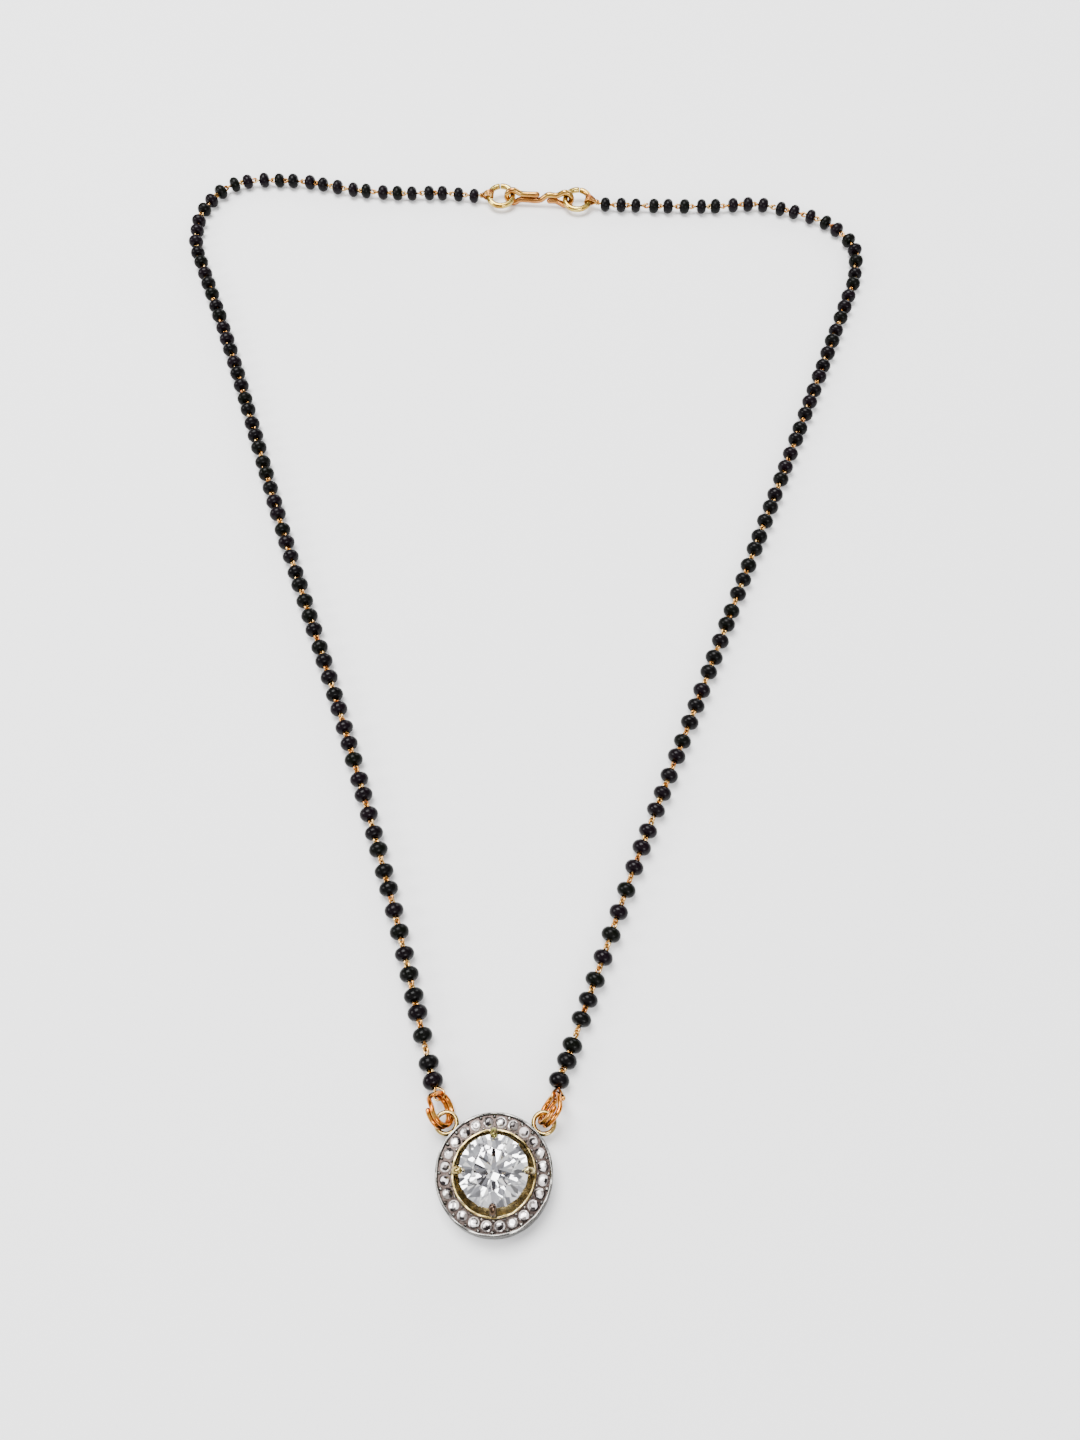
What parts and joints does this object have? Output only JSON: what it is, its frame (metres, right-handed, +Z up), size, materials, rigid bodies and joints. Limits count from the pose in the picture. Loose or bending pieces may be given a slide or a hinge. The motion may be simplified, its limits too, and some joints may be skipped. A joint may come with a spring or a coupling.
{
  "type": "mangalsutra necklace",
  "caption": "Black glass bead necklace on linked gold wire with a round halo pendant set with clear stones, double rings beside the pendant and an S-hook clasp at the back of the neck",
  "frame": {"origin": "the middle of the pendant's open back, on the plane that the pendant rests on", "axes": "+Y from the pendant along the necklace to its clasp, +Z up out of the pendant's face, +X to the right of the pendant seen from its face"},
  "size_m": [0.1185, 0.1795, 0.006],
  "materials": {
    "setting_metal": "polished pale metal with a warm gold tint in its recesses",
    "clear_stone": "clear, facet cut",
    "small_stone": "faintly champagne, facet cut",
    "ring_gold": "polished reddish gold plate",
    "black_glass": "glossy opaque black",
    "wire_gold": "polished gold plate",
    "clasp_gold": "polished yellow gold plate"
  },
  "bodies": {
    "root": {"pendant_setting": "setting_metal", "center_stone": "clear_stone", "halo_stones": "small_stone", "left_pendant_ring": "ring_gold", "right_pendant_ring": "ring_gold", "left_beads": "black_glass", "right_beads": "black_glass", "left_wire": "wire_gold", "right_wire": "wire_gold", "left_clasp_ring": "clasp_gold", "right_clasp_ring": "clasp_gold", "s_hook": "clasp_gold"}
  },
  "joints": []
}
